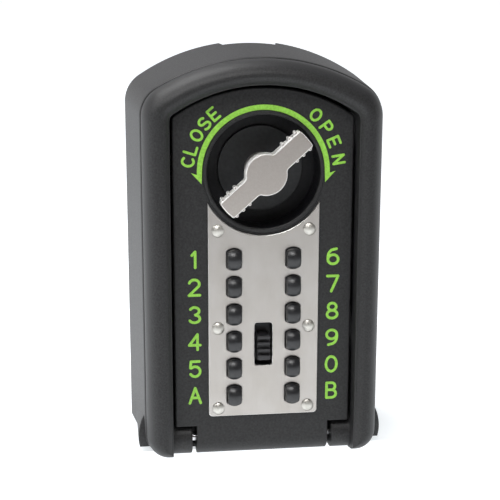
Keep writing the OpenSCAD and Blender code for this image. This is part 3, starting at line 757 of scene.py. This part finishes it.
WING_REACH = 19.6
WING_HALF = 3.75
WING_T = 5.5
WING_DEG = 42.0
WING_CORNER = 0.8
WING_FILLET = 1.6
HUB_R = 7.6
STALK_R = 6.0
NUB_R = 0.7
NUB_END = 1.9           # from the end of a wing to its outermost nub
NUB_PITCH = 3.1
NUBS = 3                # on each edge of a wing


def turned(obj, degrees):
    """Turns a mesh about the knob's axis, as seen from the front."""
    centre = KNOB * MM
    turn = Matrix.Rotation(-math.radians(degrees), 4, "Y")
    obj.data.transform(Matrix.Translation(centre) @ turn @ Matrix.Translation(-centre))


def knob_nubs(front_y, back_y):
    """Grip nubs along both edges of both wings."""
    nubs = []
    for side in (-1, 1):
        for edge in (-1, 1):
            for k in range(NUBS):
                x = side * (WING_REACH - NUB_END - NUB_PITCH * k)
                spot = disc(x, KNOB.z + edge * (WING_HALF + 0.1), NUB_R, 16)
                nubs.append(bar("nub", spot, front_y + 0.9, back_y - JOIN, r_low=0.5, r_high=0.2))
    return merged("nubs", nubs)


def make_knob():
    """Two-winged knob on a stalk, paler on its edges than on its face: the paler colour is a painted
    highlight.
    """
    front_y, back_y = KNOB_LOW.y, KNOB_LOW.y + WING_T
    flat = wing_outline(WING_REACH, WING_HALF, HUB_R, WING_CORNER, WING_FILLET)

    def outline(inset):
        return [(x, z + KNOB.z) for x, z in flat(inset)]
    knob = bar("turn_knob", outline, front_y, back_y, r_low=0.6, r_high=0.4)
    combine(knob, knob_nubs(front_y, back_y), "UNION")
    combine(knob, bar("stalk", disc(0, KNOB.z, STALK_R), back_y - JOIN, ROTOR_LOW.y), "UNION")
    turned(knob, WING_DEG)
    finish_piece(knob, "knob", "knob_metal", "wing_knob")
    knob.data.materials.append(MATERIALS["knob_edge_highlight"])
    # edges and sides take the pale colour: a painted highlight
    for face in knob.data.polygons:
        if -face.normal.y < 0.97 and face.center.y < back_y * MM:
            face.material_index = 1


def make_rotor():
    rotor = bar("rotor_disc", disc(0, KNOB.z, ROTOR_HIGH.x, 96), ROTOR_LOW.y, ROTOR_HIGH.y, r_low=0.35)
    return finish_piece(rotor, "knob", "rotor_plastic", "knob_rotor")


# ---- buttons and slider ----

DOME_R = 4.6
DOME_RINGS = (0.1, 0.22, 0.34, 0.46, 0.58, 0.7, 0.8, 0.88, 0.94)
# (drop below the dome, share of the full outline) of the rings round its edge
EDGE_RINGS = ((0.12, 0.975), (0.32, 0.995), (0.55, 1))
FLANGE_R = 4.8
FLANGE_T = 1.2
STEM_R = 1.6

THUMB = (4.9, 9.4)      # width and height of the slider's thumb piece
THUMB_Z = 5.5           # its lower edge, above the foot's
GROOVE = 1.8
RIBS = ((0, 1.9), (3.3, 4.3), (5.9, 6.9), (8.2, 9.4))


def button_ring(centre, share):
    """Outline of a button, 0.15 mm clear of its hole and scaled about its centre."""
    return [(centre.x + x * share, centre.z + z * share)
            for x, z in double_d(0, 0, HOLE_D, HOLE_W)(0.15)]


def make_button(letter):
    """Domed column with two flats, a flange behind the door skin and a stem."""
    node = "button_" + letter
    low, high = box_mm(node)
    centre = (low + high) / 2
    flange_y = SKIN_BACK_Y + 0.1

    def dome_y(x, z):
        return low.y + DOME_R - math.sqrt(DOME_R ** 2 - (x - centre.x) ** 2 - (z - centre.z) ** 2)
    rings = []
    for share in DOME_RINGS:
        rings.append([(x, dome_y(x, z), z) for x, z in button_ring(centre, share)])
    edge = button_ring(centre, 1)
    for drop, share in EDGE_RINGS:
        rim = button_ring(centre, share)
        rings.append([(x, dome_y(*point) + drop - 0.12, z) for (x, z), point in zip(rim, edge)])
    rings.append(at_y(edge, flange_y))
    turns = [math.atan2(z - centre.z, x - centre.x) for x, z in edge]
    flange_back = flange_y + FLANGE_T
    for y, r in ((flange_y, FLANGE_R), (flange_back, FLANGE_R), (flange_back, STEM_R), (high.y, STEM_R)):
        rings.append([(centre.x + r * math.cos(a), y, centre.z + r * math.sin(a)) for a in turns])
    return finish_piece(loft("push_" + node, rings), node, "button_plastic", node)


def make_slider():
    """Thumb piece with four ribs, on a foot behind the door skin."""
    width, height = THUMB
    low_z = SLIDER_LOW.z + THUMB_Z
    ground = round_rect(0, low_z + height / 2, width - 0.2, height - 0.2, 0.5)
    slider = bar("slider_thumb", ground, SLIDER_LOW.y + GROOVE, SKIN_BACK_Y + 0.6, r_low=0.2)
    foot_z = (SLIDER_LOW.z + SLIDER_HIGH.z) / 2
    foot = round_rect(0, foot_z, SLIDER_HIGH.x * 2, SLIDER_HIGH.z - SLIDER_LOW.z, 0.4)
    combine(slider, bar("foot", foot, SKIN_BACK_Y + 0.1, SKIN_BACK_Y + 1.4), "UNION")
    tab = round_rect(0, SLIDER_HIGH.z - 1, 5, 2, 0.2)
    combine(slider, bar("tab", tab, SKIN_BACK_Y + 0.5, SLIDER_HIGH.y), "UNION")
    for low, high in RIBS:
        rib = round_rect(0, low_z + (low + high) / 2, width, high - low, 0.45)
        combine(slider, bar("rib", rib, SLIDER_LOW.y, SLIDER_LOW.y + GROOVE + 0.3, r_low=0.4), "UNION")
    return finish_piece(slider, "clear_slider", "slider_plastic", "clear_slider")


# ---- springs ----

WIRE_R = 0.3
COIL_TURNS = {"y": 4, "z": 6}       # by the axis that a spring lies along


def coil_rings(low, high, axis, turns):
    """Sections of a round wire wound along an axis, filling the box from low to high."""
    across, up = [i for i in range(3) if i != axis]
    middle = (low + high) / 2
    coil_r = (high - low)[across] / 2 - WIRE_R
    steps = turns * 24
    rings = []
    for step in range(steps + 1):
        turn = math.tau * turns * step / steps
        along = low[axis] + WIRE_R + ((high - low)[axis] - 2 * WIRE_R) * step / steps
        ring = []
        for side in range(8):
            lean = math.tau * side / 8
            point = Vector(middle)
            point[axis] = along + WIRE_R * math.sin(lean)
            point[across] += (coil_r + WIRE_R * math.cos(lean)) * math.cos(turn)
            point[up] += (coil_r + WIRE_R * math.cos(lean)) * math.sin(turn)
            ring.append(point)
        rings.append(ring)
    return rings


def make_springs():
    """Coils of the return springs, which the deforming rows in model.json shorten towards their fixed end
    as their joint moves.
    """
    for joint in frame["record"]["behaviour"]["joints"]:
        for row in joint.get("deforming_nodes", []):
            node, letter = row["node"], row["mode"][-1]
            axis = "xyz".index(letter)
            low, high = box_mm(node)
            spring = loft("coil_" + node, coil_rings(low, high, axis, COIL_TURNS[letter]))
            finish_piece(spring, joint["parent"], "spring_steel", node)
            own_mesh(spring)


# ---- legends ----


def oval(cx, cz, rx, rz, start, end):
    """Points of an oval stroke from one angle in degrees to another."""
    steps = max(6, round(abs(end - start) / 22))
    turns = [math.radians(start + (end - start) * i / steps) for i in range(steps + 1)]
    return [(cx + rx * math.cos(a), cz + rz * math.sin(a)) for a in turns]


RING = oval(0, 0, 0.5, 0.5, 90, 450)
SIX = [(0.3, 0.48)] + oval(0.1, -0.05, 0.58, 0.5, 110, 180) + oval(0, -0.2, 0.48, 0.3, 180, 540)
# Strokes of each sign in a box from -0.5 to 0.5 both ways
GLYPHS = {
    "0": [RING],
    "1": [[(-0.2, 0.28), (0.1, 0.5), (0.1, -0.5)]],
    "2": [oval(0, 0.22, 0.46, 0.28, 165, -30) + [(-0.48, -0.5), (0.5, -0.5)]],
    "3": [oval(0, 0.25, 0.42, 0.25, 150, -80), oval(0, -0.25, 0.48, 0.25, 80, -155)],
    "4": [[(0.25, -0.5), (0.25, 0.5)], [(0.25, 0.5), (-0.5, -0.2), (0.5, -0.2)]],
    "5": [[(0.4, 0.5), (-0.36, 0.5), (-0.42, 0.08)] + oval(0, -0.17, 0.47, 0.33, 130, -150)],
    "6": [SIX],
    "7": [[(-0.5, 0.5), (0.5, 0.5), (-0.12, -0.5)]],
    "8": [oval(0, 0.26, 0.38, 0.24, 90, 450), oval(0, -0.24, 0.48, 0.26, 90, 450)],
    "9": [[(-x, -z) for x, z in SIX]],
    "A": [[(-0.5, -0.5), (0, 0.5), (0.5, -0.5)], [(-0.3, -0.15), (0.3, -0.15)]],
    "B": [[(-0.4, 0.5), (-0.4, -0.5)],
          [(-0.4, 0.5)] + oval(0.1, 0.26, 0.3, 0.24, 90, -90) + [(-0.4, 0.02)],
          [(-0.4, 0.02)] + oval(0.1, -0.24, 0.38, 0.26, 90, -90) + [(-0.4, -0.5)]],
    "C": [oval(0, 0, 0.5, 0.5, 50, 310)],
    "E": [[(-0.4, 0.5), (-0.4, -0.5)],
          [(-0.4, 0.5), (0.4, 0.5)], [(-0.4, 0), (0.3, 0)], [(-0.4, -0.5), (0.4, -0.5)]],
    "L": [[(-0.4, 0.5), (-0.4, -0.5)], [(-0.4, -0.5), (0.4, -0.5)]],
    "N": [[(-0.42, -0.5), (-0.42, 0.5), (0.42, -0.5), (0.42, 0.5)]],
    "O": [RING],
    "P": [[(-0.4, -0.5), (-0.4, 0.5)],
          [(-0.4, 0.5)] + oval(0.1, 0.23, 0.35, 0.27, 90, -90) + [(-0.4, -0.04)]],
    "S": [oval(0, 0.25, 0.42, 0.25, 30, 260) + oval(0, -0.25, 0.45, 0.25, 80, -150)],
}
DIGIT_STROKE = 1.0
DIGIT_SIZE = (5.1, 6.9)
WORD_STROKE = 0.9
LETTER_SIZE = (4.2, 5.1)
WORD_RING_R = 27.9
# angle of each letter round the dish, in degrees
WORDS = (("CLOSE", (171.4, 162.4, 150.8, 140.5, 130.8)), ("OPEN", (47.1, 34.9, 22.5, 8.6)))
PAINT_T = 0.15


def stroke_shapes(line, stroke):
    """Convex shapes that cover one line: a block for each segment and a disc for each point."""
    shapes = [[Vector(p) for p in disc(x, z, stroke / 2, 14)(0)] for x, z in line]
    for start, end in zip(line, line[1:]):
        a, b = Vector(start), Vector(end)
        along = (b - a).normalized()
        side = Vector((-along.y, along.x)) * stroke / 2
        shapes.append([a - side, b - side, b + side, a + side])
    return shapes


def sign_shapes(sign, w, h, stroke, place):
    """Shapes of one sign of size w by h, put in place by a function of a point."""
    shapes = []
    for line in GLYPHS[sign]:
        scaled = [(x * (w - stroke), z * (h - stroke)) for x, z in line]
        shapes += [[place(p) for p in shape] for shape in stroke_shapes(scaled, stroke)]
    return shapes


def painted(name, groups, node):
    """Thin closed layer of paint over groups of overlapping shapes on the door's face."""
    points, faces = [], []
    for shapes in groups:
        corners = [p for shape in shapes for p in shape]
        starts = [sum(len(s) for s in shapes[:i]) for i in range(len(shapes))]
        loops = [list(range(start, start + len(s))) for start, s in zip(starts, shapes)]
        flat, _, triangles, _, _, sources = delaunay_2d_cdt(corners, [], loops, 0, 1e-4)
        cells = [cell for cell, source in zip(triangles, sources) if source]
        base, count = len(points), len(flat)
        for y in (FACE_Y - PAINT_T, FACE_Y - 0.01):
            points += [(p.x, y, p.y) for p in flat]
        sides = {}
        for cell in cells:
            faces.append([base + i for i in cell])
            faces.append([base + count + i for i in reversed(cell)])
            for i, j in zip(cell, list(cell[1:]) + [cell[0]]):
                sides[(i, j)] = True
        for i, j in sides:
            if (j, i) not in sides:
                faces.append([base + j, base + i, base + count + i, base + count + j])
    return finish_piece(new_object(name, points, faces), "door", "legend_paint", node)


def make_numerals():
    """A digit or letter beside each button, at the outer edges of the legend."""
    low, high = box_mm("legend_numerals")
    half = DIGIT_SIZE[0] / 2
    groups = []
    for letter in BUTTONS:
        row_low, row_high = box_mm("button_" + letter)
        x = low.x + half if row_low.x < 0 else high.x - half
        middle = Vector((x, (row_low.z + row_high.z) / 2))

        def place(p, middle=middle):
            return Vector(p) + middle
        groups.append(sign_shapes(letter.upper(), *DIGIT_SIZE, DIGIT_STROKE, place))
    return painted("numerals_paint", groups, "legend_numerals")


def make_words():
    """The two words round the dish."""
    groups = []
    for word, angles in WORDS:
        for sign, angle in zip(word, angles):
            turn = Matrix.Rotation(math.radians(angle - 90), 2)

            def place(p, turn=turn):
                return turn @ (Vector(p) + Vector((0, WORD_RING_R))) + Vector((0, KNOB.z))
            groups.append(sign_shapes(sign, *LETTER_SIZE, WORD_STROKE, place))
    return painted("words_paint", groups, "legend_words")


def make_arrows():
    """Half ring over the dish with an arrowhead at each end."""
    inner, outer = 22.5, 24.4
    ring = arc(0, 0, outer, 0, 180, 60) + arc(0, 0, inner, 180, 0, 60)
    right = [(inner, 0.2), (inner + 0.2, -4.1), (outer + 2.1, 0), (outer, -0.7), (outer, 0.2)]
    left = [(-x, z) for x, z in reversed(right)]
    group = [[Vector((x, KNOB.z + z)) for x, z in shape] for shape in (ring, right, left)]
    return painted("arrows_paint", [group], "legend_arrows")


# ---- CAD nodes that keep their shape ----


def dress_cad_nodes():
    """Gives every node that still shows its slot's material."""
    for row in frame["record"]["subparts"]:
        obj = frame["nodes"][row["node"]]
        if obj.hide_render:
            continue
        obj.data.materials.clear()
        obj.data.materials.append(MATERIALS[row["material_slot"]])


# ---- stage ----

FLOOR_GLOW_AND_SHADOW = (0.6, 0.95)        # glow of the plinth near the box and away from it; the weaker glow near the box is a painted contact shadow
GLOW_REACH = (0.085, 0.118)     # distances in metres between which it rises
RISER_GLOW = 0.8
FRONT_GLOW = 0.78
FRONT_FADE = (-1.3, -0.6)       # y in metres between which the lower floor's glow rises from none
FLOOR_REACH = 30000.0
STEP_Y = HINGE.y + 2.3          # front edge of the plinth, clear of the door's swing
STEP_DOWN = 50.0
CEILING = 0.3
ROOM = (0.15, 0.136, 0.125)     # colour of the surroundings in front of the box
LIT_POINT = (0, -0.05, 0)

CAMERA_PLACE = (-0.05565, -0.450, 0.09183)
CAMERA_FORWARD = (0.1230, 0.9688, -0.2153)
CAMERA_RIGHT = (0.9921, -0.1256, 0.0016)
LENS_MM = 80.47
SENSOR_MM = 36


def area_light(name, location, size, power):
    """Soft light that faces the box."""
    data = bpy.data.lights.new(name, "AREA")
    data.shape = "RECTANGLE"
    data.size, data.size_y = size
    data.energy = power
    light = add_object(name, data)
    light.location = location
    light.rotation_mode = "QUATERNION"
    light.rotation_quaternion = (Vector(LIT_POINT) - Vector(location)).to_track_quat("-Z", "Y")


def floor_sheet(name, front, back):
    """Wide strip of pale paper, from one (y, z) to another, that can glow as a lit table does."""
    (y0, z0), (y1, z1) = front, back
    far = FLOOR_REACH
    sheet = new_object(name, [(-far, y0, z0), (far, y0, z0), (far, y1, z1), (-far, y1, z1)], [(0, 1, 2, 3)])
    surface = Surface(name + "_paper", specular=0.2)
    surface.colour(surface.noise(40), (0.58, 0.585, 0.6), (0.6, 0.6, 0.605))
    surface.shader.inputs["Roughness"].default_value = 0.7
    surface.shader.inputs["Emission Color"].default_value = (0.94, 0.98, 1, 1)
    sheet.data.materials.append(surface.material)
    return surface


def make_floor():
    """Plinth top under the box, and a lower floor in front that leaves the door room to swing down."""
    top, low = BASE_Z - 0.05, BASE_Z - STEP_DOWN
    plinth = floor_sheet("floor", (STEP_Y, top), (FLOOR_REACH, top))
    # the glow is weakest close to the box: a painted contact shadow, tinted by the bluish glow colour
    distance = plinth.tree.nodes.new("ShaderNodeVectorMath")
    distance.operation = "LENGTH"
    plinth.tree.links.new(plinth.place, distance.inputs[0])
    glow = plinth.mapped(distance.outputs["Value"], GLOW_REACH, FLOOR_GLOW_AND_SHADOW)
    plinth.tree.links.new(glow, plinth.shader.inputs["Emission Strength"])
    riser = floor_sheet("floor_riser", (STEP_Y, low), (STEP_Y, top))
    riser.shader.inputs["Emission Strength"].default_value = RISER_GLOW
    front = floor_sheet("floor_front", (-FLOOR_REACH, low), (STEP_Y, low))
    split = front.tree.nodes.new("ShaderNodeSeparateXYZ")
    front.tree.links.new(front.place, split.inputs[0])
    fade = front.mapped(split.outputs["Y"], FRONT_FADE, (0, FRONT_GLOW))
    front.tree.links.new(fade, front.shader.inputs["Emission Strength"])


def make_world():
    """White backdrop behind the box, a dim ceiling, and a darker warm room in front."""
    world = bpy.data.worlds.new("studio")
    world.use_nodes = True
    tree = world.node_tree
    nodes, links = tree.nodes, tree.links
    direction = nodes.new("ShaderNodeTexCoord").outputs["Generated"]
    split = nodes.new("ShaderNodeSeparateXYZ")
    height = colour_ramp(tree, ((0.1, (1.02, 1.02, 1.03)), (0.5, (CEILING, CEILING, CEILING * 1.05))))
    forward = colour_ramp(tree, ((0.0, (1, 1, 1)), (0.5, (0, 0, 0))))
    turn = nodes.new("ShaderNodeMath")
    turn.operation = "MULTIPLY"
    turn.inputs[1].default_value = -1.0
    mix = nodes.new("ShaderNodeMix")
    mix.data_type = "RGBA"
    links.new(direction, split.inputs["Vector"])
    links.new(split.outputs["Z"], height.inputs["Fac"])
    links.new(split.outputs["Y"], turn.inputs[0])
    links.new(turn.outputs[0], forward.inputs["Fac"])
    colour_inputs = [i for i in mix.inputs if i.type == "RGBA"]
    colour_inputs[0].default_value = (*ROOM, 1)
    links.new(forward.outputs["Color"], mix.inputs[0])
    links.new(height.outputs["Color"], colour_inputs[1])
    result = [o for o in mix.outputs if o.type == "RGBA"][0]
    links.new(result, nodes["Background"].inputs["Color"])
    bpy.context.scene.world = world


def make_lights():
    """Softboxes in front above the door, overhead, and on the left."""
    area_light("front_box", (-0.17, -0.54, 0.66), (0.5, 0.22), 3.6)
    area_light("top_box", (-0.28, 0.2, 0.78), (0.55, 0.42), 4.4)
    area_light("left_box", (-0.66, -0.22, 0.6), (0.35, 0.35), 1.9)


def make_camera():
    """Camera at the photograph's viewing angle."""
    forward = Vector(CAMERA_FORWARD).normalized()
    right = Vector(CAMERA_RIGHT).normalized()
    up = right.cross(forward).normalized()
    data = bpy.data.cameras.new("camera")
    data.lens = LENS_MM
    data.sensor_width = SENSOR_MM
    data.clip_start, data.clip_end = 0.01, 50
    camera = add_object("camera", data)
    axes = Matrix((right, up, -forward)).transposed()
    camera.matrix_world = Matrix.Translation(Vector(CAMERA_PLACE)) @ axes.to_4x4()
    bpy.context.scene.camera = camera


make_camera()
make_housing()
make_door()
make_plate()
make_rivets()
make_knob()
make_rotor()
for letter in BUTTONS:
    make_button(letter)
make_slider()
make_springs()
make_numerals()
make_words()
make_arrows()
dress_cad_nodes()
make_floor()
make_world()
make_lights()
bpy.context.scene.view_settings.view_transform = "Standard"
